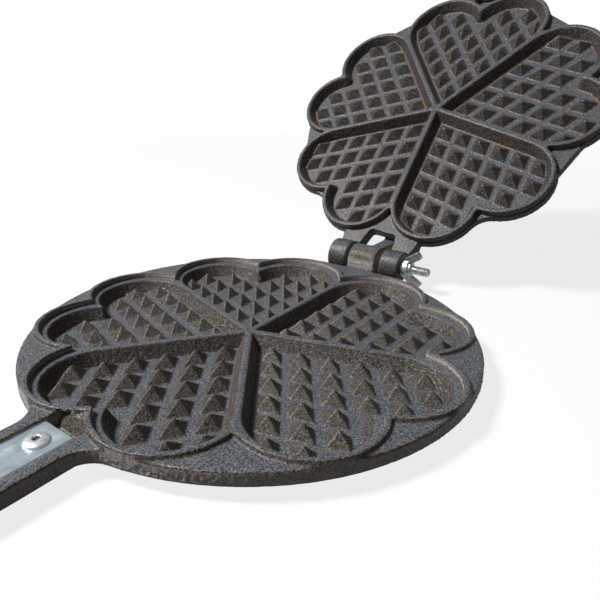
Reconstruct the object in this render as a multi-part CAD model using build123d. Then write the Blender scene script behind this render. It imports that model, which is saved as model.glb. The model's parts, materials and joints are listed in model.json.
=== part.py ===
from build123d import *
from math import asin, atan2, cos, degrees, hypot, pi, radians, sin, sqrt, tan
import os

# Five-heart stovetop waffle iron, standing open. Millimetres, +Z up, hinge at +Y, handles at -Y when closed.
# The origin is the middle of the lower plate, on the face it stands on.

# overall
plate_radius = 105.0        # flange of the lower plate
seam_height = 10.0          # base face to the plane where the two plates meet
seam_gap = 0.3              # between the closed plates
open_angle = 134.5          # upper plate, swung back from closed

# hearts
heart_count = 5
lobe_along = 72.1           # lobe centre, measured along the heart's axis
lobe_radius = 24.0
divider_top = 3.0           # flat crest between two hearts
notch_round = 0.4           # blunt cusp between the two lobes of a heart
cavity_depth = 7.0
wall_lean = 3.3             # how far a cavity wall leans in on its way down

# studs on the heart floors
stud_pitch = 13.48
first_stud = 18.4           # centre of the plate to the first stud
stud_share = 0.76           # stud base as a share of the pitch
stud_tip_share = 0.07
stud_tip_depth = 1.7        # crest of the divider down to a stud's tip
stud_rows = (6, 6, 5, 3, 3, 2)

# castings
floor_thickness = 3.0
boss_wall = 3.2             # wall round a heart, seen from the back
boss_notch_round = 3.0
hub_radius = 10.0           # round pad on a plate's back, where the five hearts meet
flange_rise = 1.4           # flange top above the seam
flange_drop = 4.5           # flange underside below the seam
ledge_width = 3.2           # flat band round the hearts that the rim comes down on
ridge_width = 2.6
ridge_height = 3.2
cusp_round = 0.8
rim_width = 2.6             # rim round the upper hearts
slab_lift = 4.4             # inner face of the upper slab above the seam
slab_thickness = 4.8
slab_margin = 3.3           # upper slab beyond the hearts
slab_flat = 93.9            # plate centre to the straight edge of the upper slab beyond a divider
slab_notch_fillet = 13.0
slab_flat_fillet = 4.0

# arms, cast on the plates
arm_width = 30.0
arm_end = 163.0             # plate centre to the arm's end
arm_end_round = 9.0
arm_fillet = 12.0
arm_floor = 2.7             # under the strip
trough_side_gap = 1.2       # strip to trough wall
trough_sink = 0.9           # strip top below the trough's edge
pocket_length = 4.2         # open end of the trough beyond the strip
pocket_depth = 5.6
pocket_slope = 4.0          # run of the pocket's slanting end wall

# handle strips
strip_width = 16.0
strip_thickness = 3.0
strip_start = 104.2
strip_end = 320.0
strip_end_round = 7.5
crank_start = 172.0         # where the upper strip steps away from the lower one
crank_run = 16.0
crank_rise = 14.0
crank_round = 8.0
hang_hole_radius = 3.25
hang_hole_inset = 8.0

# blind rivets
rivet_places = (112.8, 150.0)
rivet_radius = 2.4
rivet_hole_gap = 0.05
rivet_head_radius = 4.8
rivet_head_height = 1.4
rivet_bulb_radius = 3.3
rivet_bulb_length = 2.2
mandrel_head_radius = 2.0
mandrel_head_length = 1.1
mandrel_radius = 1.3
mandrel_gap = 0.05
mandrel_sink = 0.9          # broken end below the dome

# wooden grips
grip_start = 196.0
grip_end_inset = 17.0       # strip's end beyond the grips
grip_width = 24.0
grip_thickness = 6.0
grip_corner = 7.0
grip_edge_round = 2.4
grip_pin_radius = 2.5
grip_pin_head_radius = 4.2
grip_pin_head_height = 1.0
grip_pin_inset = 20.0
grip_pin_gap = 0.05

# hinge
hinge_overhang = 11.2       # rim of the lower plate to the hinge axis
hinge_lift = 4.36           # hinge axis above the seam
knuckle_radius = 9.3
left_knuckle_radius = 10.2  # cast heavier than the other two
knuckle_edge_round = 0.8
hinge_width = 47.0          # over the outer knuckles
hinge_shift = -0.5
left_knuckle = 12.6
middle_knuckle = 18.3
middle_knuckle_shift = -1.05
right_knuckle = 12.3
web_width = 50.2            # upper web, wider than the knuckles it runs into
web_narrowing = 6.5
web_thickness = 7.5         # thicker than the slab, round the window
web_length = 31.0           # hinge axis to where the web has its full thickness
web_ramp = 8.0
window_depth = 22.2         # hinge axis to the far edge of the window, at its left
window_skew = 2.0           # how much nearer the far edge comes at its right
window_left_taper = 3.6
window_left_run = 12.0
window_right_taper = 1.2
window_right_run = 6.0
window_corner = 2.0
hinge_lug_width = 54.0
hinge_lug_spot = 48.0       # where the lug leaves the round of the plate
hinge_lug_round = 5.0
lug_gap = 0.2               # rear edge of the lower flange to the knuckles
foot_width = 30.0           # foot under the hinge lug
foot_depth = 9.0
foot_corner = 3.0
foot_taper = 6.0
stop_width = 8.6            # stop behind the middle knuckle that the open plate leans on
stop_gap = 0.06
stop_rise = 8.8             # hinge axis up to the stop's level top
stop_reach = 29.0           # hinge axis to the stop's tip, measured along the open plate
stop_thickness = 4.5

# bolt, washer and wing nut
bolt_radius = 2.5
bolt_length = 63.3
bolt_gap = 0.06             # running clearance round the bolt
bolt_head_radius = 6.75
bolt_head_height = 3.3
bolt_square = 5.0
bolt_square_length = 3.5
bolt_tip_chamfer = 0.8
washer_radius = 5.5
washer_thickness = 1.2
washer_gap = 0.02
nut_base_radius = 5.8
nut_base_height = 2.8
nut_top_radius = 4.2
nut_hub_height = 4.2
wing_reach = 12.3           # bolt axis to the outer corner of a wing
wing_shoulder = 7.9         # seat to the outer corner
wing_throat = 8.6           # bolt axis to the inner corner
wing_height = 10.6          # seat to the inner corner
wing_root = 6.9             # bolt axis to a wing's outer edge, at its foot
wing_foot = 0.5             # seat to where a wing leaves the hub
wing_thickness = 3.0
wing_corner = 0.8
wing_turn = 10.0            # how far past upright the nut stands

overshoot = 1.0             # how far a cut runs past a face

# worked out from the above
half_heart = pi / heart_count
lobe_across = (lobe_along * sin(half_heart) - lobe_radius - divider_top / 2) / cos(half_heart)
lobe_distance = hypot(lobe_along, lobe_across)
lobe_angle = degrees(atan2(lobe_across, lobe_along))
heart_angles = [270 + k * 360 / heart_count for k in range(heart_count)]
divider_angles = [angle + 180 / heart_count for angle in heart_angles]
divider_lobes = 2 * lobe_distance * sin(half_heart - radians(lobe_angle))
flange_top = seam_height + flange_rise
flange_bottom = seam_height - flange_drop
mouth_height = seam_height + seam_gap
slab_bottom = seam_height + slab_lift
slab_top = slab_bottom + slab_thickness
upper_back = mouth_height + cavity_depth + floor_thickness
hinge_reach = plate_radius + hinge_overhang
hinge_height = seam_height + hinge_lift
arm_root = strip_start - pocket_length - pocket_slope
trough_width = strip_width + 2 * trough_side_gap
strip_sink = trough_sink + strip_thickness
arm_depth = strip_sink + arm_floor
web_back = slab_bottom + web_thickness
lug_rear = hinge_reach - left_knuckle_radius - lug_gap
lug_flare = sqrt(plate_radius ** 2 - hinge_lug_spot ** 2)
left_face = hinge_shift - hinge_width / 2
right_face = hinge_shift + hinge_width / 2
left_inner = left_face + left_knuckle
right_inner = right_face - right_knuckle
nut_seat = right_face + washer_thickness + 2 * washer_gap
rivet_bore = mandrel_radius + mandrel_gap
grip_end = strip_end - grip_end_inset
grip_middle = (grip_start + grip_end) / 2
grip_pin_places = (grip_start + grip_pin_inset, grip_end - grip_pin_inset)


def polar(distance, angle):
    return (distance * cos(radians(angle)), distance * sin(radians(angle)))


def heart_face(inset, cusp):
    """One heart on the +X axis; a positive inset shrinks it, and cusp is the notch radius at no inset."""
    lobe = lobe_radius - inset
    side = divider_top / 2 + inset
    centre = Vector(lobe_along, lobe_across)
    touch = lobe_along * cos(half_heart) + lobe_across * sin(half_heart)
    tangent = Vector(touch * cos(half_heart) + side * sin(half_heart),
                     touch * sin(half_heart) - side * cos(half_heart))
    notch_centre = lobe_along + sqrt((lobe_radius + cusp) ** 2 - lobe_across ** 2)
    first = pi / 2 + half_heart
    last = -asin(lobe_across / (lobe_radius + cusp))
    middle = (first + last) / 2
    on_arc = centre + Vector(lobe * cos(middle), lobe * sin(middle))
    lobe_end = centre + Vector(lobe * cos(last), lobe * sin(last))
    tip = Vector(side / sin(half_heart), 0)

    def flipped(point):
        return Vector(point.X, -point.Y)

    edges = [
        Line(tip, tangent),
        ThreePointArc(tangent, on_arc, lobe_end),
        ThreePointArc(lobe_end, Vector(notch_centre - cusp - inset, 0), flipped(lobe_end)),
        ThreePointArc(flipped(lobe_end), flipped(on_arc), flipped(tangent)),
        Line(flipped(tangent), tip),
    ]
    return make_face(edges)


def rosette(reach, cusp):
    """Ten lobes of the given radius round the plate, with the cusps between them rounded."""
    face = Circle(lobe_distance)
    for angle in heart_angles:
        for side in (-1, 1):
            face += Pos(*polar(lobe_distance, angle + side * lobe_angle)) * Circle(reach)
    return fillet(face.vertices(), cusp) if cusp else face


def stud(row, column):
    """Blunt four-sided stud on the slanting grid that runs along both sides of a heart."""
    along = stud_pitch * stud_share / 2
    centre = Vector(first_stud, 0)
    centre += Vector(*polar(row * stud_pitch, degrees(half_heart)))
    centre += Vector(*polar(column * stud_pitch, -degrees(half_heart)))
    reach_x = 2 * along * cos(half_heart)
    reach_y = 2 * along * sin(half_heart)

    def rhomb(scale, height):
        corners = [(reach_x * scale, 0), (0, reach_y * scale), (-reach_x * scale, 0), (0, -reach_y * scale)]
        return Pos(centre.X, centre.Y, height) * make_face(Polyline(*corners, close=True))

    return loft([rhomb(1, -cavity_depth - 0.01), rhomb(stud_tip_share, -stud_tip_depth)], ruled=True)


def heart_cavity():
    """What is cut out of a plate for one heart: mouth at z 0, floor below, studs left standing."""
    mouth = heart_face(0, notch_round)
    floor = Pos(0, 0, -cavity_depth) * heart_face(wall_lean, notch_round)
    cavity = loft([floor, mouth], ruled=True)
    studs = [stud(row, column) for row in range(len(stud_rows)) for column in range(stud_rows[row])]
    return cavity - studs


def heart_boss(height):
    """The back of one heart: a tapered pad from z 0 out to z -height."""
    lean_rate = wall_lean / cavity_depth
    inner = lean_rate * (cavity_depth + floor_thickness - height) - boss_wall
    outer = inner + lean_rate * height
    root = heart_face(inner, boss_notch_round)
    crown = Pos(0, 0, -height) * heart_face(outer, boss_notch_round)
    return loft([crown, root], ruled=True)


def around(shape):
    return [Rot(0, 0, angle) * shape for angle in heart_angles]


def along_x(radius, start, end):
    """A cylinder on the hinge axis, from x = start to x = end."""
    return Pos((start + end) / 2, hinge_reach, hinge_height) * Rot(0, 90, 0) * Cylinder(radius, end - start)


def knuckle(radius, start, end):
    barrel = along_x(radius, start, end)
    return fillet(barrel.edges().filter_by(GeomType.CIRCLE), knuckle_edge_round)


def block(x_size, y_start, y_end, z_start, z_end):
    middle = Pos(0, (y_start + y_end) / 2, (z_start + z_end) / 2)
    return middle * Box(x_size, y_end - y_start, z_end - z_start)


def opened(shape):
    """From the closed iron to the open one."""
    hinge = Pos(0, hinge_reach, hinge_height)
    return hinge * Rot(-open_angle, 0, 0) * hinge.inverse() * shape


# The arms and what they carry are made with the arm's edge plane at z 0 and its floor below.

def on_lower_arm(shape):
    return Pos(0, 0, flange_top) * shape


def on_upper_arm(shape):
    """The upper arm is the lower one turned over, with its trough facing down on the closed iron."""
    return opened(Pos(0, 0, slab_bottom) * Rot(0, 180, 0) * shape)


def arm_outline(root):
    """The arm in plan, from its rounded end to the given distance from the plate's centre."""
    bar = Pos(0, -(arm_end + root) / 2) * Rectangle(arm_width, arm_end - root)
    return fillet(bar.vertices().group_by(Axis.Y)[0], arm_end_round)


def with_arm(outline):
    """A plate's outline joined to its arm, with a round where each side of the arm runs in."""
    joined = outline + arm_outline(lobe_along)
    on_sides = joined.vertices().filter_by(lambda corner: abs(abs(corner.X) - arm_width / 2) < 0.001)
    return fillet(on_sides.sort_by(Axis.Y)[-2:], arm_fillet)


def arm_body():
    return extrude(Pos(0, 0, -arm_depth) * arm_outline(arm_root), arm_depth)


def trough():
    """The channel for the strip, and the open pocket beyond the strip's end with its slanting wall."""
    channel = block(trough_width, -arm_end - overshoot, -strip_start, -strip_sink, overshoot)
    foot = pocket_length - strip_start
    back = -strip_start - overshoot
    profile = Polyline((back, overshoot), (back, -pocket_depth), (foot, -pocket_depth),
                       (foot + pocket_slope, 0), (foot + pocket_slope, overshoot), close=True)
    pocket = extrude(Plane.YZ * make_face(profile), trough_width / 2, both=True)
    return channel + pocket


def arm_cuts():
    hole = Cylinder(rivet_radius + rivet_hole_gap, 2 * arm_depth)
    return [trough()] + [Pos(0, -place, -arm_depth) * hole for place in rivet_places]


def open_stop():
    """The stop behind the middle knuckle, about the hinge axis: a level top, then a face along the open plate."""
    up = Vector(-cos(radians(open_angle)), sin(radians(open_angle)))
    back = Vector(up.Y, -up.X)
    face = web_back - hinge_height + stop_gap
    rise = (stop_rise - back.Y * face) / up.Y
    corner = up * rise + back * face
    tip = up * stop_reach + back * face
    heel = tip + back * stop_thickness
    root = corner + Vector(0, -stop_thickness)
    profile = Polyline((0, 0), root, heel, tip, corner, (0, stop_rise), close=True)
    return extrude(Plane.YZ * make_face(profile), stop_width / 2, both=True)


def lower_plate():
    lug = make_face(Polyline((0, 0), (hinge_lug_spot, lug_flare), (hinge_lug_width / 2, lug_rear),
                             (-hinge_lug_width / 2, lug_rear), (-hinge_lug_spot, lug_flare), close=True))
    lug = fillet(lug.vertices().group_by(Axis.Y)[-1], hinge_lug_round)
    outline = with_arm(Circle(plate_radius) + lug)
    plate = Pos(0, 0, flange_bottom) * extrude(outline, flange_top - flange_bottom)
    plate += on_lower_arm(arm_body())

    ledge_reach = lobe_radius + ledge_width
    ridge = extrude(rosette(ledge_reach + ridge_width, cusp_round), ridge_height + flange_drop)
    bed = extrude(rosette(ledge_reach, cusp_round), 2 * ridge_height)
    plate += Pos(0, 0, flange_bottom) * ridge
    plate -= Pos(0, 0, seam_height) * bed
    plate += around(Pos(0, 0, flange_bottom) * heart_boss(flange_bottom))
    plate += extrude(Circle(hub_radius), flange_bottom)
    plate -= around(Pos(0, 0, seam_height) * heart_cavity())

    start = middle_knuckle_shift - middle_knuckle / 2
    end = middle_knuckle_shift + middle_knuckle / 2
    web_start = lug_rear - knuckle_edge_round
    web = block(middle_knuckle, web_start, hinge_reach, hinge_height - knuckle_radius, flange_top)
    plate += knuckle(knuckle_radius, start, end) + Pos(middle_knuckle_shift, 0, 0) * web
    plate += Pos(end - stop_width / 2, hinge_reach, hinge_height) * open_stop()
    foot_middle = lug_rear - foot_depth / 2
    foot = Pos(0, foot_middle, flange_bottom) * RectangleRounded(foot_width, foot_depth, foot_corner)
    plate += extrude(foot, flange_bottom, dir=(0, 0, -1), taper=foot_taper)
    plate -= along_x(bolt_radius + bolt_gap, start - overshoot, end + overshoot)
    return plate - [on_lower_arm(cut) for cut in arm_cuts()]


def off_divider(corner):
    """Angle in plan between a corner and the nearest divider."""
    sector = 360 / heart_count
    turn = (degrees(atan2(corner.Y, corner.X)) - divider_angles[0]) % sector
    return min(turn, sector - turn)


def slab_outline():
    """The lobed upper slab, with a straight edge beyond each divider."""
    halfway = 90 / heart_count
    face = rosette(lobe_radius + slab_margin, 0)
    face = fillet(face.vertices().filter_by(lambda corner: off_divider(corner) > halfway), slab_notch_fillet)
    for angle in divider_angles:
        face += Rot(0, 0, angle) * Pos(slab_flat / 2, 0) * Rectangle(slab_flat, divider_lobes)
    return fillet(face.vertices().filter_by(lambda corner: off_divider(corner) < halfway), slab_flat_fillet)


def hinge_web():
    """Plan of the web between the upper slab and its knuckles."""
    side = web_width / 2
    front = hinge_reach - knuckle_radius
    shoulder = front - web_narrowing
    return make_face(Polyline((-side, 0), (side, 0), (side, shoulder), (right_face, front), (right_face, hinge_reach),
                              (left_face, hinge_reach), (left_face, front), (-side, shoulder), close=True))


def hinge_rise():
    """The web's thicker back, level as far as the window and then running up to the knuckles."""
    foot = Vector(hinge_reach - web_length - web_ramp, slab_top)
    level = Vector(hinge_reach - web_length, web_back)
    start = Vector(hinge_reach - window_depth + window_skew, web_back)
    axis = Vector(hinge_reach, hinge_height)
    span = axis - start
    aim = atan2(span.Y, span.X) + asin(knuckle_radius / span.length)
    run = sqrt(span.length ** 2 - knuckle_radius ** 2)
    touch = start + Vector(run * cos(aim), run * sin(aim))
    profile = Polyline((foot.X, slab_bottom), axis, touch, start, level, foot, close=True)
    body = extrude(Plane.YZ * make_face(profile), hinge_width, both=True)
    return body & Pos(0, 0, slab_bottom) * extrude(hinge_web(), 2 * knuckle_radius)


def hinge_window():
    """Plan of the opening that the middle knuckle and the stop stand in."""
    far = hinge_reach - window_depth
    near = hinge_reach + 2 * knuckle_radius
    left, right = left_inner + window_left_taper, right_inner - window_right_taper
    window = make_face(Polyline((left, far), (right, far + window_skew),
                                (right_inner, far + window_skew + window_right_run), (right_inner, near),
                                (left_inner, near), (left_inner, far + window_left_run), close=True))
    return fillet(window.vertices().filter_by(lambda corner: corner.Y < hinge_reach), window_corner)


def upper_plate():
    plate = Pos(0, 0, slab_bottom) * extrude(with_arm(slab_outline() + hinge_web()), slab_thickness)
    rim = extrude(rosette(lobe_radius + rim_width, cusp_round), slab_lift)
    plate += Pos(0, 0, mouth_height) * rim
    plate += around(Pos(0, 0, slab_top) * Rot(180, 0, 0) * heart_boss(upper_back - slab_top))
    plate += Pos(0, 0, slab_top) * extrude(Circle(hub_radius), upper_back - slab_top)
    plate += hinge_rise()
    plate -= around(Pos(0, 0, mouth_height) * Rot(180, 0, 0) * heart_cavity())

    plate -= Pos(0, 0, hinge_height) * extrude(hinge_window(), 2 * knuckle_radius, both=True)
    plate += knuckle(left_knuckle_radius, left_face, left_inner)
    plate += knuckle(knuckle_radius, right_inner, right_face)

    plate = opened(plate) + on_upper_arm(arm_body())
    plate -= along_x(bolt_radius + bolt_gap, left_face - overshoot, right_face + overshoot)
    plate -= bolt_neck(bolt_square + 2 * bolt_gap)
    return plate - [on_upper_arm(cut) for cut in arm_cuts()]


def strip_outline():
    bar = Pos(0, -(strip_start + strip_end) / 2) * Rectangle(strip_width, strip_end - strip_start)
    bar = fillet(bar.vertices().group_by(Axis.Y)[0], strip_end_round)
    bar -= [Pos(0, -place) * Circle(rivet_radius + rivet_hole_gap) for place in rivet_places]
    bar -= [Pos(0, -place) * Circle(grip_pin_radius + grip_pin_gap) for place in grip_pin_places]
    return bar - Pos(0, hang_hole_inset - strip_end) * Circle(hang_hole_radius)


def flat_strip():
    """The lower strip, lying in its trough."""
    return extrude(Pos(0, 0, -strip_sink) * strip_outline(), strip_thickness)


def cranked_strip():
    """The upper strip, which steps away from the lower one beyond the arm's end."""
    turn = atan2(crank_rise, crank_run)
    far = -strip_sink - crank_rise
    under = [(-strip_start, -strip_sink), (-crank_start, -strip_sink), (-crank_start - crank_run, far),
             (-strip_end, far)]
    shift = strip_thickness * tan(turn / 2)
    over = [(y - shift, z + strip_thickness) for y, z in under]
    over[0] = (-strip_start, over[0][1])
    over[-1] = (-strip_end, over[-1][1])
    wide = crank_round + strip_thickness
    lower_edge = FilletPolyline(*under, radius=[crank_round, wide])
    upper_edge = FilletPolyline(*over, radius=[wide, crank_round])
    ends = [Line(lower_edge @ at, upper_edge @ at) for at in (0, 1)]
    bent = extrude(Plane.YZ * make_face([lower_edge, upper_edge] + ends), strip_width, both=True)
    return bent & extrude(strip_outline(), 2 * (strip_sink + crank_rise), both=True)


def turned(outline):
    """A body turned about Z from its half outline of radius and height."""
    return revolve(Plane.XZ * make_face(outline), Axis.Z)


def dome(radius, height):
    """A shallow round head standing on z 0."""
    ball = (radius ** 2 + height ** 2) / (2 * height)
    half_angle = asin(radius / ball) / 2
    middle = (ball * sin(half_angle), height - ball + ball * cos(half_angle))
    crown = ThreePointArc((0, height), middle, (radius, 0))
    return turned([crown, Line((radius, 0), (0, 0)), Line((0, 0), (0, height))])


def at_places(shape, places, height):
    return Part() + [Pos(0, -place, height) * shape for place in places]


def blind_rivets():
    """Drawn blind rivets, domed over the strip and spread under the arm's floor."""
    floor = -strip_thickness - arm_floor
    end = floor - rivet_bulb_length
    shoulder = (rivet_head_radius * cos(pi / 4), rivet_head_height * sin(pi / 4))
    crown = ThreePointArc((rivet_bore, rivet_head_height), shoulder, (rivet_head_radius, 0))
    shank = Polyline((rivet_head_radius, 0), (rivet_radius, 0), (rivet_radius, floor), (rivet_bulb_radius, floor))
    bulb = FilletPolyline((rivet_bulb_radius, floor), (rivet_bulb_radius, end), (rivet_bore, end),
                          radius=(rivet_bulb_radius - rivet_bore) / 2)
    rivet = turned([crown, shank, bulb, Line((rivet_bore, end), (rivet_bore, rivet_head_height))])
    return at_places(rivet, rivet_places, -trough_sink)


def rivet_mandrels():
    """What stays of the mandrels that drew the rivets: the broken end is seen in the dome's hole."""
    foot = -strip_thickness - arm_floor - rivet_bulb_length
    top = rivet_head_height - mandrel_sink
    outline = Polyline((0, top), (mandrel_radius, top), (mandrel_radius, foot), (mandrel_head_radius, foot),
                       (mandrel_head_radius, foot - mandrel_head_length), (0, foot - mandrel_head_length), close=True)
    return at_places(turned(outline), rivet_places, -trough_sink)


def grip_scale():
    """One wooden scale, lying on z 0, flat below and rounded above."""
    plan = RectangleRounded(grip_width, grip_end - grip_start, grip_corner)
    scale = Pos(0, -grip_middle) * extrude(plan, grip_thickness)
    scale = fillet(scale.faces().sort_by(Axis.Z)[-1].edges(), grip_edge_round)
    hole = Cylinder(grip_pin_radius + grip_pin_gap, 4 * grip_thickness)
    return scale - [Pos(0, -place) * hole for place in grip_pin_places]


def grip_pins():
    """Rivets through both scales and the strip, centred on the strip."""
    face = strip_thickness / 2 + grip_thickness
    head = Pos(0, 0, face) * dome(grip_pin_head_radius, grip_pin_head_height)
    pin = Cylinder(grip_pin_radius, 2 * face) + head + Rot(180, 0, 0) * head
    return at_places(pin, grip_pin_places, 0)


# The bolt, washer and nut stand on the hinge axis; their local Z is the axis, with the bolt's head at z 0.

def on_bolt(shape, start):
    return Pos(start, hinge_reach, hinge_height) * Rot(0, 90, 0) * shape


def bolt_neck(size):
    return on_bolt(Pos(0, 0, bolt_square_length / 2) * Box(size, size, bolt_square_length), left_face)


def hinge_bolt():
    """A round-headed bolt, kept from turning by the square under its head."""
    head = Rot(180, 0, 0) * dome(bolt_head_radius, bolt_head_height)
    shank = Pos(0, 0, bolt_length / 2) * Cylinder(bolt_radius, bolt_length)
    shank = chamfer(shank.edges().sort_by(Axis.Z)[-1], bolt_tip_chamfer)
    return on_bolt(head + shank, left_face) + bolt_neck(bolt_square)


def hinge_washer():
    ring = Circle(washer_radius) - Circle(bolt_radius + bolt_gap)
    return on_bolt(extrude(ring, washer_thickness), right_face + washer_gap)


def wing_nut():
    nut = extrude(Circle(nut_base_radius), nut_base_height) + extrude(Circle(nut_top_radius), nut_hub_height)
    tips = [(wing_reach, wing_shoulder), (wing_throat, wing_height)]
    roots = [(nut_top_radius, nut_hub_height), (bolt_radius, wing_foot), (wing_root, wing_foot)]
    outline = make_face(Polyline(*tips, *roots, close=True))
    outline = fillet(outline.vertices().group_by(Axis.Y)[-1] + outline.vertices().group_by(Axis.X)[-1], wing_corner)
    wing = extrude(Plane.XZ * outline, wing_thickness / 2, both=True)
    nut += [wing, Rot(0, 0, 180) * wing]
    nut -= Cylinder(bolt_radius + bolt_gap, 4 * wing_height)
    return on_bolt(Rot(0, 0, wing_turn) * nut, nut_seat)


def build():
    strip_top = -trough_sink
    strip_bottom = -strip_sink
    strip_middle = (strip_top + strip_bottom) / 2
    scale = grip_scale()
    return {
        "lower_plate": lower_plate(),
        "lower_handle_strip": on_lower_arm(flat_strip()),
        "lower_arm_rivets": on_lower_arm(blind_rivets()),
        "lower_rivet_mandrels": on_lower_arm(rivet_mandrels()),
        "lower_grip_top": on_lower_arm(Pos(0, 0, strip_top) * scale),
        "lower_grip_bottom": on_lower_arm(Pos(0, 0, strip_bottom) * Rot(0, 180, 0) * scale),
        "lower_grip_pins": on_lower_arm(Pos(0, 0, strip_middle) * grip_pins()),
        "upper_plate": upper_plate(),
        "upper_handle_strip": on_upper_arm(cranked_strip()),
        "upper_arm_rivets": on_upper_arm(blind_rivets()),
        "upper_rivet_mandrels": on_upper_arm(rivet_mandrels()),
        "upper_grip_inner": on_upper_arm(Pos(0, 0, strip_top - crank_rise) * scale),
        "upper_grip_outer": on_upper_arm(Pos(0, 0, strip_bottom - crank_rise) * Rot(0, 180, 0) * scale),
        "upper_grip_pins": on_upper_arm(Pos(0, 0, strip_middle - crank_rise) * grip_pins()),
        "hinge_bolt": hinge_bolt(),
        "hinge_washer": hinge_washer(),
        "wing_nut": wing_nut(),
    }


os.makedirs("parts", exist_ok=True)
for name, shape in build().items():
    export_step(shape, f"parts/{name}.step")
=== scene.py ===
import json
import math
import bpy
import bmesh
import numpy as np
from mathutils import Matrix, Vector


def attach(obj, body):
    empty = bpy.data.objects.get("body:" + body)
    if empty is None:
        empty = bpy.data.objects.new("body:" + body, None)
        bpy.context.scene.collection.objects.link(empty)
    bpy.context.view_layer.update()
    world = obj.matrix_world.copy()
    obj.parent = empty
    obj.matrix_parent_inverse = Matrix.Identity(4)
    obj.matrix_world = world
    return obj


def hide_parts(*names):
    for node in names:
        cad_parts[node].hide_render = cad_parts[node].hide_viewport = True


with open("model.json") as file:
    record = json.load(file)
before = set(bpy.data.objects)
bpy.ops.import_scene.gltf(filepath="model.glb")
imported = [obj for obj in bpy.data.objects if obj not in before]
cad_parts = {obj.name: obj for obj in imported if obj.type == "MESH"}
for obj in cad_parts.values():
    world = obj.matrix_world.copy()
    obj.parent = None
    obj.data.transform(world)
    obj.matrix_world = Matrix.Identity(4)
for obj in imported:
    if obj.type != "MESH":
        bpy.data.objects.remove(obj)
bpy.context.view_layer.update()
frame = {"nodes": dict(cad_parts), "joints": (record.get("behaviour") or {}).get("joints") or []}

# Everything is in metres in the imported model's frame; sizes below are millimetres times mm.
mm = 0.001
nodes = frame["nodes"]
joints = {joint["name"]: joint for joint in frame["joints"]}
hingePlace = Vector(joints["plate_hinge"]["pos_m"])
openTurn = math.radians(joints["plate_hinge"]["range_deg"][1])

# closed iron to open iron, and the two arms' own frames with the trough's edge at z 0
opened = Matrix.Translation(hingePlace) @ Matrix.Rotation(-openTurn, 4, "X") @ Matrix.Translation(-hingePlace)
armPlace = {
    "lower": Matrix.Translation((0, 0, 11.4 * mm)),
    "upper": opened @ Matrix.Translation((0, 0, 14.4 * mm)) @ Matrix.Rotation(math.pi, 4, "Y"),
}


# ---- camera ----
cameraView = {
    "azimuth": 39.921, "elevation": 22.471, "roll": -0.701,   # degrees
    "away": 271.12, "right": -0.171, "down": 14.244,          # plate centre from the lens, mm
    "aimHeight": 10.0,                                        # height of that centre, mm
    "focalPixels": 564.92, "frame": 600, "axisPixel": 250,
    "sensor": 36.0,
}


def addCamera(view):
    turn = math.radians(view["azimuth"])
    tilt = math.radians(view["elevation"])
    back = Vector((math.sin(turn) * math.cos(tilt), -math.cos(turn) * math.cos(tilt), math.sin(tilt)))
    right = Vector((math.cos(turn), math.sin(turn), 0))
    up = back.cross(right)
    c, s = math.cos(math.radians(view["roll"])), math.sin(math.radians(view["roll"]))
    rowX = right * c + up * s
    rowY = right * s - up * c
    toLens = rowX * view["right"] + rowY * view["down"] - back * view["away"]
    data = bpy.data.cameras.new("camera")
    data.sensor_width = view["sensor"]
    data.lens = view["focalPixels"] / view["frame"] * view["sensor"]
    data.shift_x = 0.5 - view["axisPixel"] / view["frame"]
    data.clip_start = 0.01
    camera = bpy.data.objects.new("camera", data)
    bpy.context.scene.collection.objects.link(camera)
    place = Matrix((rowX, -rowY, back)).transposed().to_4x4()
    place.translation = (Vector((0, 0, view["aimHeight"])) - toLens) * mm
    camera.matrix_world = place
    bpy.context.scene.camera = camera


addCamera(cameraView)
print("camera set")


# ---- mesh helpers ----
def linked(name, mesh):
    piece = bpy.data.objects.new(name, mesh)
    bpy.context.scene.collection.objects.link(piece)
    return piece


def settled(piece):
    # applies the modifiers
    graph = bpy.context.evaluated_depsgraph_get()
    mesh = bpy.data.meshes.new_from_object(piece.evaluated_get(graph))
    piece.modifiers.clear()
    piece.data = mesh
    return piece


def copyOf(nodeName, pieceName):
    piece = linked(pieceName, nodes[nodeName].data.copy())
    piece.data.materials.clear()
    shape = bmesh.new()
    shape.from_mesh(piece.data)
    bmesh.ops.remove_doubles(shape, verts=shape.verts, dist=0.0005 * mm)
    shape.to_mesh(piece.data)
    shape.free()
    return piece


def smoothShaded(piece, sharpAbove=None):
    mesh = piece.data
    mesh.polygons.foreach_set("use_smooth", [True] * len(mesh.polygons))
    if sharpAbove:
        mesh.set_sharp_from_angle(angle=math.radians(sharpAbove))
    mesh.update()


def meshPiece(name, points, faces):
    mesh = bpy.data.meshes.new(name)
    mesh.from_pydata([tuple(point) for point in points], [], faces)
    shape = bmesh.new()
    shape.from_mesh(mesh)
    bmesh.ops.remove_doubles(shape, verts=shape.verts, dist=0.0005 * mm)
    bmesh.ops.recalc_face_normals(shape, faces=shape.faces)
    shape.to_mesh(mesh)
    shape.free()
    return linked(name, mesh)


def turnedFaces(profile, steps, place, points, faces):
    # one turned body about its local Z from a closed outline of (radius, height) in mm
    start = len(points)
    rows = len(profile)
    for k in range(steps):
        angle = 2 * math.pi * k / steps
        for radius, height in profile:
            spot = Vector((radius * math.cos(angle), radius * math.sin(angle), height)) * mm
            points.append(place @ spot)
    for k in range(steps):
        here, there = start + k * rows, start + (k + 1) % steps * rows
        for j in range(rows):
            after = (j + 1) % rows
            ring = [here + j, there + j, there + after, here + after]
            if profile[j][0] == 0 and profile[after][0] == 0:
                continue
            if profile[j][0] == 0:
                ring = [here + j, there + after, here + after]
            elif profile[after][0] == 0:
                ring = [here + j, there + j, here + after]
            faces.append(ring)


def turnedPiece(name, profile, steps, places):
    points, faces = [], []
    for place in places:
        turnedFaces(profile, steps, place, points, faces)
    piece = meshPiece(name, points, faces)
    smoothShaded(piece, 40)
    return piece


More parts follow.
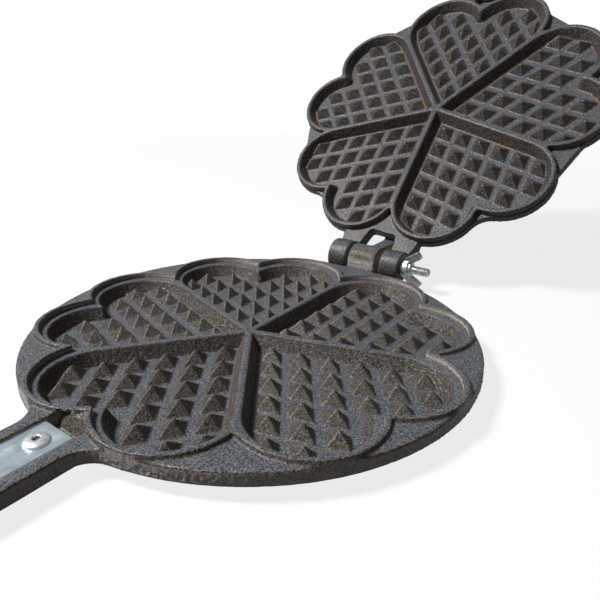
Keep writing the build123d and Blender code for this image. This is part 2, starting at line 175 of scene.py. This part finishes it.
def roundedOutline(corners, steps=4):
    # closed outline of (radius, height, rounding) with each corner rounded
    outline = []
    count = len(corners)
    for j in range(count):
        here = Vector(corners[j][:2])
        rounding = corners[j][2]
        if rounding == 0:
            outline.append(tuple(here))
            continue
        before = (Vector(corners[j - 1][:2]) - here).normalized()
        after = (Vector(corners[(j + 1) % count][:2]) - here).normalized()
        half = before.angle(after) / 2
        centre = here + (before + after).normalized() * rounding / math.sin(half)
        run = rounding / math.tan(half)
        first, last = here + before * run, here + after * run
        for k in range(steps + 1):
            spoke = (first - centre).lerp(last - centre, k / steps)
            outline.append(tuple(centre + spoke.normalized() * rounding))
    return outline


def neighbourMeans(count, edges):
    share = 1 / np.maximum(np.bincount(edges.ravel(), minlength=count), 1)

    def means(values):
        out = np.empty_like(values)
        for k in range(values.shape[1]):
            total = np.bincount(edges[:, 0], values[edges[:, 1], k], count)
            total += np.bincount(edges[:, 1], values[edges[:, 0], k], count)
            out[:, k] = total * share
        return out

    return means


def meshArrays(mesh):
    spots = np.empty(len(mesh.vertices) * 3)
    mesh.vertices.foreach_get("co", spots)
    edges = np.empty(len(mesh.edges) * 2, dtype=np.int64)
    mesh.edges.foreach_get("vertices", edges)
    return spots.reshape(-1, 3) / mm, edges.reshape(-1, 2)


def shareAbove(spots, place, crest):
    # 1 for points that lie above the height crest in the frame given as place, 0 half a millimetre below it
    toPlate = np.array(place.inverted())
    height = spots @ toPlate[2, :3] + toPlate[2, 3] / mm
    return np.clip((height - crest) / 0.5 + 1, 0, 1)


def softenCrests(piece, passes, place, crest):
    mesh = piece.data
    spots, edges = meshArrays(mesh)
    means = neighbourMeans(len(spots), edges)
    share = shareAbove(spots, place, crest)[:, None] * 0.5
    for _ in range(passes):
        spots = spots + (means(spots) - spots) * share
    mesh.vertices.foreach_set("co", (spots * mm).ravel())
    mesh.update()


def steepness(mesh, place):
    # 0 on a flat face of the plate up to 1 on an upright one
    normals = np.empty(len(mesh.vertices) * 3)
    mesh.vertex_normals.foreach_get("vector", normals)
    return 1 - np.abs(normals.reshape(-1, 3) @ np.array(place.inverted())[2, :3])


def markEdges(piece, steps, place, crest):
    # stores how far each point stands out (+) or lies in a groove (-), how steep the face is there,
    # and whether it lies above the crest height
    mesh = piece.data
    spots, edges = meshArrays(mesh)
    normals = np.empty(len(spots) * 3)
    mesh.vertex_normals.foreach_get("vector", normals)
    normals = normals.reshape(-1, 3)
    means = neighbourMeans(len(spots), edges)
    soft = spots
    for step in range(steps):
        soft = means(soft)
    standing = ((spots - soft) * normals).sum(axis=1)
    mesh.attributes.new("edge", "FLOAT", "POINT").data.foreach_set("value", standing)
    mesh.attributes.new("steep", "FLOAT", "POINT").data.foreach_set("value", steepness(mesh, place))
    mesh.attributes.new("high", "FLOAT", "POINT").data.foreach_set("value", shareAbove(spots, place, crest))


def placed(piece, node, body, material):
    piece.data.materials.clear()
    piece.data.materials.append(material)
    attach(piece, body)
    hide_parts(node)


# ---- material helpers ----
class Finish:
    def __init__(self, name):
        self.material = bpy.data.materials.new(name)
        self.material.use_nodes = True
        self.tree = self.material.node_tree
        self.shader = self.tree.nodes["Principled BSDF"]
        self.coords = self.tree.nodes.new("ShaderNodeTexCoord")

    def node(self, kind, **sockets):
        made = self.tree.nodes.new("ShaderNode" + kind)
        for name, value in sockets.items():
            made.inputs[name].default_value = value
        return made

    def link(self, source, target):
        self.tree.links.new(source, target)

    def where(self, scale=(1, 1, 1), turn=(0, 0, 0)):
        mapping = self.node("Mapping", Scale=scale, Rotation=turn)
        self.link(self.coords.outputs["Object"], mapping.inputs["Vector"])
        return mapping.outputs["Vector"]

    def noise(self, size, detail=2.0, rough=0.5, where=None, distortion=0.0):
        # size is the width of one blotch in mm
        made = self.node("TexNoise", Scale=1 / (size * mm), Detail=detail, Roughness=rough,
                         Distortion=distortion)
        self.link(where or self.coords.outputs["Object"], made.inputs["Vector"])
        return made.outputs["Fac"]

    def ramp(self, value, low, high, fromOut=0.0, toOut=1.0):
        made = self.node("MapRange")
        for socket, number in zip(made.inputs[1:5], (low, high, fromOut, toOut)):
            socket.default_value = number
        self.link(value, made.inputs[0])
        return made.outputs[0]

    def maths(self, kind, a, b):
        made = self.node("Math")
        made.operation = kind
        for socket, value in zip(made.inputs, (a, b)):
            if isinstance(value, (int, float)):
                socket.default_value = value
            else:
                self.link(value, socket)
        return made.outputs[0]

    def mixed(self, factor, a, b):
        made = self.node("Mix")
        made.data_type = "RGBA"
        for name, value in (("Factor_Float", factor), ("A_Color", a), ("B_Color", b)):
            socket = next(s for s in made.inputs if s.identifier == name)
            if isinstance(value, (int, float)):
                socket.default_value = value
            elif isinstance(value, tuple):
                socket.default_value = (*value, 1)
            else:
                self.link(value, socket)
        return next(s for s in made.outputs if s.identifier == "Result_Color")

    def stored(self, name):
        made = self.node("Attribute")
        made.attribute_name = name
        return made.outputs["Fac"]

    def bump(self, height, depth, below=None):
        # depth is the height of a full step in mm
        made = self.node("Bump", Distance=depth * mm, Strength=1.0)
        self.link(height, made.inputs["Height"])
        if below:
            self.link(below, made.inputs["Normal"])
        return made.outputs["Normal"]

    def set(self, **sockets):
        for name, value in sockets.items():
            socket = self.shader.inputs[name.replace("_", " ")]
            if isinstance(value, (int, float)):
                socket.default_value = value
            elif isinstance(value, tuple):
                socket.default_value = (*value, 1)
            else:
                self.link(value, socket)


# ---- cast iron ----
ironLook = {
    # level faces run from dark to pale through the grain, paler and blue-grey as a painted sky sheen; the
    # slope colours below are darker and warm brown, painted shade and warm light on the sloped faces
    "dark": (0.015, 0.016, 0.018), "pale": (0.196, 0.205, 0.222),
    # side: the much paler colour of upright walls, a painted reflection of the floor
    "steepDark": (0.010, 0.0085, 0.0075), "steepPale": (0.152, 0.133, 0.117), "side": (0.47, 0.44, 0.412),
    # spark: pale specks over the iron, painted glints
    "worn": (0.62, 0.49, 0.34), "rust": (0.16, 0.075, 0.030), "spark": (0.42, 0.38, 0.34),
    "sheen": (1.0, 0.90, 0.80),
    "grain": 0.72, "coarse": 1.3, "blotch": 14.0, "sparkSize": 0.62,      # mm
    "grainDepth": 0.22,                                                   # mm
    "roughLow": 0.24, "roughHigh": 0.52, "specular": 0.25, "rustShare": 0.25, "studWear": 0.0,
}
oiledLook = dict(
    ironLook, pale=(0.160, 0.166, 0.178), steepPale=(0.122, 0.107, 0.095), side=(0.20, 0.187, 0.176),
    rustShare=0.9, studWear=0.3, grainDepth=0.18)


def ironFinish(name, look):
    f = Finish(name)
    grain = f.noise(look["grain"], 2.0, 0.6)
    blotch = f.noise(look["blotch"], 4.0, 0.6)
    near = f.stored("edge")
    steep = f.stored("steep")
    coarse = f.noise(look["coarse"], 1.0, 0.5)
    tone = f.maths("MULTIPLY", f.ramp(grain, 0.34, 0.66), f.ramp(blotch, 0.3, 0.7, 0.85, 1.0))
    tone = f.maths("MULTIPLY", tone, f.ramp(coarse, 0.35, 0.65, 0.82, 1.0))
    flatSkySheenTone = f.mixed(tone, look["dark"], look["pale"])
    slopeShadedWarmTone = f.mixed(tone, look["steepDark"], look["steepPale"])
    # sloped faces take the darker warm-brown copy, level faces the paler blue-grey one: painted shade and warm
    # light on slopes, painted sky sheen on flats
    colour = f.mixed(f.ramp(steep, 0.08, 0.24), flatSkySheenTone, slopeShadedWarmTone)
    # upright walls turn to the pale side colour, broken by the grain: painted reflection of the floor on the
    # walls
    wallReflectionShare = f.maths("MULTIPLY", f.ramp(steep, 0.6, 0.9), f.ramp(grain, 0.34, 0.62, 0.4, 1.0))
    colour = f.mixed(wallReflectionShare, colour, look["side"])
    # pale specks scattered over the iron: painted glints
    spark = f.ramp(f.noise(look["sparkSize"], 1.0, 0.5), 0.67, 0.73, 0.0, 0.7)
    colour = f.mixed(spark, colour, look["spark"])
    crease = f.maths("MULTIPLY", f.ramp(near, -0.03, -0.14), f.ramp(blotch, 0.35, 0.6))
    colour = f.mixed(f.maths("MULTIPLY", crease, look["rustShare"]), colour, look["rust"])
    wear = f.maths("MULTIPLY", f.ramp(near, 0.05, 0.2), f.ramp(grain, 0.42, 0.62))
    wear = f.maths("MULTIPLY", wear, f.ramp(blotch, 0.4, 0.6, 0.2, 0.95))
    wear = f.maths("MULTIPLY", wear, f.ramp(f.stored("high"), 0.0, 1.0, look["studWear"], 1.0))
    colour = f.mixed(wear, colour, look["worn"])
    rough = f.ramp(grain, 0.3, 0.7, look["roughHigh"], look["roughLow"])
    f.set(Base_Color=colour, Roughness=rough, Normal=f.bump(grain, look["grainDepth"]),
          Metallic=f.maths("MULTIPLY", wear, 0.3),
          Specular_IOR_Level=look["specular"], Specular_Tint=look["sheen"])
    return f.material


castingLook = {
    "voxel": 0.44,          # mm
    "softenPasses": 3, "softenShare": 0.5,
    "crestPasses": 10,      # further softening of what lies above the crest height
    "waviness": 0.16, "wavinessSize": 9.0,                       # mm
    "sand": 0.60, "sandSize": 1.5, "sandOnFlats": 0.12,          # mm, and the share of it on flat faces
    "steepFrom": 0.35, "steepTo": 0.60,
    "edgeSteps": 3,         # mesh steps over which an edge is told from a face
}


def displace(piece, name, size, strength, group=""):
    clouds = bpy.data.textures.new(piece.name + name, "CLOUDS")
    clouds.noise_scale = size * mm
    clouds.noise_depth = 1
    push = piece.modifiers.new(name, "DISPLACE")
    push.texture = clouds
    push.texture_coords = "LOCAL"
    push.strength = strength * mm
    push.mid_level = 0.5
    push.vertex_group = group


def steepGroup(piece, place, look):
    # weights for the sand's grip, from its share on flat faces up to 1 on the walls, in ten steps
    steep = steepness(piece.data, place)
    share = np.clip((steep - look["steepFrom"]) / (look["steepTo"] - look["steepFrom"]), 0, 1)
    weights = np.round((look["sandOnFlats"] + (1 - look["sandOnFlats"]) * share) * 10) / 10
    group = piece.vertex_groups.new(name="steep")
    for weight in np.unique(weights):
        group.add(np.flatnonzero(weights == weight).tolist(), float(weight), "REPLACE")


def castingFrom(nodeName, pieceName, body, look, place, crest, iron):
    piece = copyOf(nodeName, pieceName)
    skin = piece.modifiers.new("skin", "REMESH")
    skin.mode = "VOXEL"
    skin.voxel_size = look["voxel"] * mm
    soften = piece.modifiers.new("soften", "SMOOTH")
    soften.factor = look["softenShare"]
    soften.iterations = look["softenPasses"]
    displace(piece, "waves", look["wavinessSize"], look["waviness"])
    settled(piece)
    steepGroup(piece, place, look)
    displace(piece, "sand", look["sandSize"], look["sand"], "steep")
    settled(piece)
    piece.vertex_groups.clear()
    softenCrests(piece, look["crestPasses"], place, crest)
    markEdges(piece, look["edgeSteps"], place, crest)
    smoothShaded(piece)
    placed(piece, nodeName, body, ironFinish(pieceName + "Iron", iron))
    print(pieceName, len(piece.data.polygons), "faces")
    return piece


castingFrom("lower_plate", "lowerPlateCasting", "lower_iron", castingLook, armPlace["lower"], -2.2, ironLook)
castingFrom("upper_plate", "upperPlateCasting", "upper_iron", castingLook, armPlace["upper"], 3.0, oiledLook)
print("castings made")


# ---- zinc plated strips ----
stripLook = {
    "bevel": 0.35, "bevelSteps": 3,     # mm
    "pale": (0.70, 0.79, 0.84), "deep": (0.60, 0.69, 0.75), "milky": (0.84, 0.87, 0.87),
    "scratchWidth": 0.25, "cloud": 9.0,    # mm
}


def zincFinish(name, look, turn=0.0):
    f = Finish(name)
    along = f.where(scale=(1, 0.02, 1), turn=(turn, 0, 0))
    lines = f.noise(look["scratchWidth"], 3.0, 0.7, along)
    cloud = f.noise(look["cloud"], 3.0, 0.6)
    colour = f.mixed(f.ramp(cloud, 0.3, 0.7), look["deep"], look["pale"])
    colour = f.mixed(f.ramp(lines, 0.55, 0.8, 0.0, 0.45), colour, look["milky"])
    rough = f.ramp(f.maths("ADD", lines, cloud), 0.7, 1.3, 0.24, 0.46)
    f.set(Base_Color=colour, Roughness=rough, Metallic=0.9, Normal=f.bump(lines, 0.012))
    return f.material


def bevelledFrom(nodeName, pieceName, body, look):
    piece = copyOf(nodeName, pieceName)
    shape = bmesh.new()
    shape.from_mesh(piece.data)
    bmesh.ops.dissolve_limit(shape, angle_limit=math.radians(0.5), verts=shape.verts, edges=shape.edges)
    shape.to_mesh(piece.data)
    shape.free()
    bevel = piece.modifiers.new("bevel", "BEVEL")
    bevel.width = look["bevel"] * mm
    bevel.segments = look["bevelSteps"]
    bevel.limit_method = "ANGLE"
    bevel.angle_limit = math.radians(35)
    settled(piece)
    smoothShaded(piece, 30)
    return piece


for side, turn in (("lower", 0.0), ("upper", openTurn)):
    strip = bevelledFrom(side + "_handle_strip", side + "HandleStrip", side + "_iron", stripLook)
    placed(strip, side + "_handle_strip", side + "_iron",
           zincFinish(side + "StripZinc", stripLook, turn))
print("strips made")


# ---- blind rivets and their mandrels ----
rivetLook = {
    "places": (112.8, 150.0), "top": -0.9,      # mm, along the arm and below its edge
    "headRadius": 4.8, "headHeight": 1.4, "boreRadius": 1.35, "boreRounding": 0.35,
    "shankRadius": 2.4, "floorDepth": 5.7, "bulbRadius": 3.3, "bulbLength": 2.2, "brim": 0.25,
    "mandrelRadius": 1.3, "mandrelSink": 0.9, "mandrelHead": (2.0, 1.1),
    "steps": 72,
}


def rivetOutline(look):
    head, bore, rim = look["headRadius"], look["boreRadius"], look["boreRounding"]
    deep = -look["floorDepth"]
    crown = [(head, 0), (head + 0.02, look["brim"])]
    for k in range(1, 13):
        angle = math.pi / 2 * k / 12
        spread = bore + rim + (head - bore - rim) * math.cos(angle)
        crown.append((spread, look["brim"] + (look["headHeight"] - look["brim"]) * math.sin(angle) ** 0.9))
    for k in range(1, 5):
        angle = math.pi / 2 * k / 4
        crown.append((bore + rim - rim * math.sin(angle), look["headHeight"] - rim + rim * math.cos(angle)))
    bulb, end = look["bulbRadius"], deep - look["bulbLength"]
    tail = [(bore, end), (bulb - 0.9, end), (bulb - 0.3, end + 0.35), (bulb, end + 1.0), (bulb, deep - 0.2)]
    return crown + tail + [(look["shankRadius"], deep), (look["shankRadius"], 0)]


def rivetFinish():
    f = Finish("rivetAluminium")
    cloud = f.noise(1.6, 3.0, 0.6)
    fine = f.noise(0.18, 2.0, 0.6)
    colour = f.mixed(f.ramp(cloud, 0.35, 0.65), (0.62, 0.62, 0.61), (0.86, 0.86, 0.85))
    rough = f.ramp(fine, 0.35, 0.65, 0.28, 0.44)
    f.set(Base_Color=colour, Roughness=rough, Metallic=0.85, Normal=f.bump(fine, 0.01))
    return f.material


def mandrelFinish():
    f = Finish("brokenMandrel")
    torn = f.noise(0.4, 4.0, 0.7)
    colour = f.mixed(f.ramp(torn, 0.3, 0.7), (0.035, 0.032, 0.030), (0.16, 0.15, 0.14))
    f.set(Base_Color=colour, Roughness=f.ramp(torn, 0.3, 0.7, 0.7, 0.45), Metallic=0.7,
          Normal=f.bump(torn, 0.15))
    return f.material


rivetAluminium = rivetFinish()
brokenMandrel = mandrelFinish()


def addRivets(side, look):
    places = [armPlace[side] @ Matrix.Translation((0, -spot * mm, look["top"] * mm))
              for spot in look["places"]]
    rivets = turnedPiece(side + "ArmRivets", rivetOutline(look), look["steps"], places)
    placed(rivets, side + "_arm_rivets", side + "_iron", rivetAluminium)
    top = look["headHeight"] - look["mandrelSink"]
    end = -look["floorDepth"] - look["bulbLength"]
    wide, long = look["mandrelHead"]
    radius = look["mandrelRadius"]
    outline = roundedOutline([(0, top - 0.25, 0), (radius * 0.55, top - 0.2, 0), (radius, top, 0.12),
                              (radius, end, 0), (wide, end, 0.2), (wide, end - long, 0.3), (0, end - long, 0)])
    mandrels = turnedPiece(side + "RivetMandrels", outline, look["steps"] // 2, places)
    placed(mandrels, side + "_rivet_mandrels", side + "_iron", brokenMandrel)


for side in ("lower", "upper"):
    addRivets(side, rivetLook)
print("rivets made")


# ---- wooden grips and their pins ----
gripLook = {
    "voxel": 0.7, "softenPasses": 5, "softenShare": 0.5,
    "pale": (0.46, 0.26, 0.12), "deep": (0.20, 0.095, 0.038), "pore": (0.075, 0.032, 0.013),
    "ring": 3.2, "pores": 0.35, "stretch": 0.035,
    "pinRadius": 2.5, "pinHeadRadius": 4.2, "pinHeadHeight": 1.0, "pinHalf": 7.5,
    "pinPlaces": (216.0, 283.0), "middle": {"lower": -2.4, "upper": -16.4},
}


def woodFinish(name, look, turn):
    f = Finish(name)
    along = f.where(scale=(1, look["stretch"], 1), turn=(turn, 0, 0))
    rings = f.noise(look["ring"], 3.0, 0.55, along, 1.2)
    pores = f.noise(look["pores"], 2.0, 0.6, along)
    tone = f.noise(45, 2.0, 0.5)
    colour = f.mixed(f.ramp(rings, 0.36, 0.64), look["deep"], look["pale"])
    colour = f.mixed(f.ramp(tone, 0.35, 0.65, 0.0, 0.35), colour, look["deep"])
    colour = f.mixed(f.ramp(pores, 0.62, 0.72, 0.0, 0.8), colour, look["pore"])
    normal = f.bump(pores, -0.05)
    normal = f.bump(rings, 0.06, normal)
    f.set(Base_Color=colour, Roughness=f.ramp(rings, 0.3, 0.7, 0.5, 0.36), Normal=normal, Coat_Weight=0.12,
          Coat_Roughness=0.35)
    return f.material


def addGrip(side, nodeName, look, wood):
    words = nodeName.split("_")
    grip = copyOf(nodeName, words[0] + "".join(word.title() for word in words[1:]))
    skin = grip.modifiers.new("skin", "REMESH")
    skin.mode = "VOXEL"
    skin.voxel_size = look["voxel"] * mm
    soften = grip.modifiers.new("soften", "SMOOTH")
    soften.factor = look["softenShare"]
    soften.iterations = look["softenPasses"]
    settled(grip)
    smoothShaded(grip)
    placed(grip, nodeName, side + "_iron", wood)


def pinOutline(look):
    head, tall, half = look["pinHeadRadius"], look["pinHeadHeight"], look["pinHalf"]
    upper = [(look["pinRadius"], half), (head, half), (head, half + 0.15)]
    for k in range(1, 11):
        angle = math.pi / 2 * k / 10
        upper.append((head * math.cos(angle), half + 0.15 + (tall - 0.15) * math.sin(angle)))
    upper[-1] = (0, half + tall)
    return [(radius, -height) for radius, height in reversed(upper)] + upper


for side, turn in (("lower", 0.0), ("upper", openTurn)):
    wood = woodFinish(side + "GripWood", gripLook, turn)
    for grip in ("top", "bottom") if side == "lower" else ("inner", "outer"):
        addGrip(side, side + "_grip_" + grip, gripLook, wood)
    places = [armPlace[side] @ Matrix.Translation((0, -spot * mm, gripLook["middle"][side] * mm))
              for spot in gripLook["pinPlaces"]]
    pins = turnedPiece(side + "GripPins", pinOutline(gripLook), 64, places)
    placed(pins, side + "_grip_pins", side + "_iron", rivetAluminium)
print("grips made")


# ---- hinge bolt, washer and wing nut ----
boltLook = {
    "start": -24.0, "length": 63.3, "radius": 2.5, "threadDepth": 0.42, "pitch": 0.8, "threadFrom": 36.0,
    "tipChamfer": 0.8, "headRadius": 6.75, "headHeight": 3.3, "square": 5.0, "squareLength": 3.5, "steps": 40,
    "pale": (0.80, 0.82, 0.81), "deep": (0.50, 0.53, 0.54), "yellow": (0.66, 0.63, 0.50),
}


def brightZincFinish(look):
    f = Finish("brightZinc")
    cloud = f.noise(2.4, 3.0, 0.6)
    fine = f.noise(0.22, 2.0, 0.6)
    colour = f.mixed(f.ramp(cloud, 0.35, 0.65), look["deep"], look["pale"])
    colour = f.mixed(f.ramp(f.noise(4.0, 2.0), 0.55, 0.75, 0.0, 0.35), colour, look["yellow"])
    f.set(Base_Color=colour, Roughness=f.ramp(fine, 0.3, 0.7, 0.22, 0.38), Metallic=0.92,
          Normal=f.bump(fine, 0.012))
    return f.material


brightZinc = brightZincFinish(boltLook)
boltPlace = Matrix.Translation(hingePlace) @ Matrix.Rotation(math.pi / 2, 4, "Y")


def addBolt(look):
    points, faces = [], []
    place = boltPlace @ Matrix.Translation((0, 0, look["start"] * mm))
    steps = look["steps"]
    rowsPerTurn = 8
    length, chamfer = look["length"], look["tipChamfer"]
    heights = [0.0, look["threadFrom"] - 0.8]
    turns = int((length - look["threadFrom"]) / look["pitch"] * rowsPerTurn)
    heights += [look["threadFrom"] + (length - look["threadFrom"]) * k / turns for k in range(turns + 1)]
    for height in heights:
        for k in range(steps):
            angle = 2 * math.pi * k / steps
            radius = look["radius"]
            if height >= look["threadFrom"]:
                phase = (height / look["pitch"] - k / steps) % 1
                ridge = min(1.0, max(0.0, 2.6 * abs(phase - 0.5) - 0.15))
                fade = min(1.0, (height - look["threadFrom"]) / 1.2)
                radius -= look["threadDepth"] * ridge * fade
            radius = min(radius, look["radius"] - chamfer + (length - height))
            points.append(place @ (Vector((radius * math.cos(angle), radius * math.sin(angle), height)) * mm))
    for row in range(len(heights) - 1):
        for k in range(steps):
            here, after = row * steps + k, row * steps + (k + 1) % steps
            faces.append([here, after, after + steps, here + steps])
    faces.append(list(range(steps))[::-1])
    last = (len(heights) - 1) * steps
    faces.append([last + k for k in range(steps)])
    head, tall = look["headRadius"], look["headHeight"]
    dome = [(0, 0.0), (head - 0.2, 0.0), (head, -0.2), (head, -0.5)]
    dome += [(head * math.cos(math.pi / 2 * k / 12), -0.5 - (tall - 0.5) * math.sin(math.pi / 2 * k / 12))
             for k in range(1, 12)] + [(0, -tall)]
    turnedFaces(dome, 64, place, points, faces)
    side = look["square"] / 2
    first = len(points)
    for height in (-0.2, look["squareLength"]):
        for x, y in ((-side, -side), (side, -side), (side, side), (-side, side)):
            points.append(place @ (Vector((x, y, height)) * mm))
    faces += [[first + 3, first + 2, first + 1, first], [first + 4, first + 5, first + 6, first + 7]]
    faces += [[first + k, first + (k + 1) % 4, first + 4 + (k + 1) % 4, first + 4 + k] for k in range(4)]
    bolt = meshPiece("hingeBolt", points, faces)
    smoothShaded(bolt, 42)
    placed(bolt, "hinge_bolt", "upper_iron", brightZinc)


addBolt(boltLook)

washerLook = {"inner": 2.51, "outer": 5.5, "thickness": 1.2, "start": 23.02, "edge": 0.25, "steps": 72}


def addWasher(look):
    outline = roundedOutline([(look["inner"], 0, 0.1), (look["outer"], 0, look["edge"]),
                              (look["outer"], look["thickness"], look["edge"]),
                              (look["inner"], look["thickness"], 0.1)])
    place = boltPlace @ Matrix.Translation((0, 0, look["start"] * mm))
    washer = turnedPiece("hingeWasher", outline, look["steps"], [place])
    placed(washer, "hinge_washer", "washer", brightZinc)


addWasher(washerLook)

nutLook = {"voxel": 0.2, "softenPasses": 3, "softenShare": 0.5}


def addWingNut(look):
    nut = copyOf("wing_nut", "wingNut")
    skin = nut.modifiers.new("skin", "REMESH")
    skin.mode = "VOXEL"
    skin.voxel_size = look["voxel"] * mm
    soften = nut.modifiers.new("soften", "SMOOTH")
    soften.factor = look["softenShare"]
    soften.iterations = look["softenPasses"]
    settled(nut)
    smoothShaded(nut)
    placed(nut, "wing_nut", "nut", brightZinc)


addWingNut(nutLook)
print("hinge hardware made")


# ---- floor, light and background ----
studio = {
    "floorSize": 6.0, "floorColour": (0.88, 0.88, 0.88), "floorBounce": (0.09, 0.09, 0.09),
    "floorShown": (0.82, 1.0),      # share of plain white, near and far
    "shownFrom": (0.35, 1.1),       # the distances in m between which it changes
    "fill": 0.015, "mirrored": 0.34, "sky": (0.90, 0.95, 1.0),
    "lamps": (
        {"name": "left", "spot": (-0.64, -0.54, 1.10), "aim": (0.0, 0.0, 0.0), "size": (0.28, 0.28),
         "watts": 28.0, "colour": (0.98, 0.99, 1.0)},
        {"name": "front", "spot": (0.05, -0.90, 0.95), "aim": (0.0, 0.0, 0.0), "size": (0.22, 0.22),
         "watts": 0.6, "colour": (1.0, 0.93, 0.84)},
    ),
}


def seenRays(tree, mirrored):
    # 1 for rays from the lens, a share for mirrored ones, 0 for the light on matt surfaces
    path = tree.nodes.new("ShaderNodeLightPath")
    share = tree.nodes.new("ShaderNodeMath")
    share.operation = "MULTIPLY_ADD"
    tree.links.new(path.outputs["Is Glossy Ray"], share.inputs[0])
    share.inputs[1].default_value = mirrored
    tree.links.new(path.outputs["Is Camera Ray"], share.inputs[2])
    return share.outputs[0]


def addFloor(look):
    half = look["floorSize"] / 2
    mesh = bpy.data.meshes.new("floor")
    corners = [(-half, -half, 0), (half, -half, 0), (half, half, 0), (-half, half, 0)]
    mesh.from_pydata(corners, [], [(0, 1, 2, 3)])
    floor = linked("floor", mesh)
    f = Finish("paleFloor")
    seen = seenRays(f.tree, look["mirrored"])
    f.set(Base_Color=f.mixed(seen, look["floorBounce"], look["floorColour"]), Roughness=0.8)
    f.shader.inputs["Specular IOR Level"].default_value = 0.1
    glow = f.node("Emission", Color=(1, 1, 1, 1), Strength=1.0)
    away = f.node("VectorMath")
    away.operation = "LENGTH"
    f.link(f.coords.outputs["Object"], away.inputs[0])
    shown = f.ramp(away.outputs["Value"], *look["shownFrom"], *look["floorShown"])
    share = f.maths("MULTIPLY", seen, shown)
    both = f.node("MixShader")
    f.link(share, both.inputs[0])
    f.link(f.shader.outputs[0], both.inputs[1])
    f.link(glow.outputs[0], both.inputs[2])
    f.link(both.outputs[0], f.tree.nodes["Material Output"].inputs["Surface"])
    floor.data.materials.append(f.material)


def addWorld(look):
    world = bpy.data.worlds.new("studio")
    bpy.context.scene.world = world
    world.use_nodes = True
    tree = world.node_tree
    back = tree.nodes["Background"]
    back.inputs["Color"].default_value = (*look["sky"], 1)
    plain = tree.nodes.new("ShaderNodeBackground")
    plain.inputs["Color"].default_value = (1, 1, 1, 1)
    path = tree.nodes.new("ShaderNodeLightPath")
    both = tree.nodes.new("ShaderNodeMixShader")
    tree.links.new(path.outputs["Is Camera Ray"], both.inputs[0])
    tree.links.new(back.outputs[0], both.inputs[1])
    tree.links.new(plain.outputs[0], both.inputs[2])
    tree.links.new(both.outputs[0], tree.nodes["World Output"].inputs["Surface"])
    strength = tree.nodes.new("ShaderNodeMapRange")
    strength.inputs["To Min"].default_value = look["fill"]
    strength.inputs["To Max"].default_value = 1.0
    tree.links.new(seenRays(tree, look["mirrored"]), strength.inputs["Value"])
    tree.links.new(strength.outputs[0], back.inputs["Strength"])


def addLamp(lamp):
    data = bpy.data.lights.new(lamp["name"], "AREA")
    data.shape = "RECTANGLE"
    data.size, data.size_y = lamp["size"]
    data.energy = lamp["watts"]
    data.color = lamp["colour"]
    light = bpy.data.objects.new(lamp["name"], data)
    bpy.context.scene.collection.objects.link(light)
    aim = Vector(lamp["aim"]) - Vector(lamp["spot"])
    light.rotation_euler = aim.to_track_quat("-Z", "Y").to_euler()
    light.location = lamp["spot"]


addFloor(studio)
addWorld(studio)
for lamp in studio["lamps"]:
    addLamp(lamp)
bpy.context.scene.view_settings.view_transform = "Standard"
print("studio set")
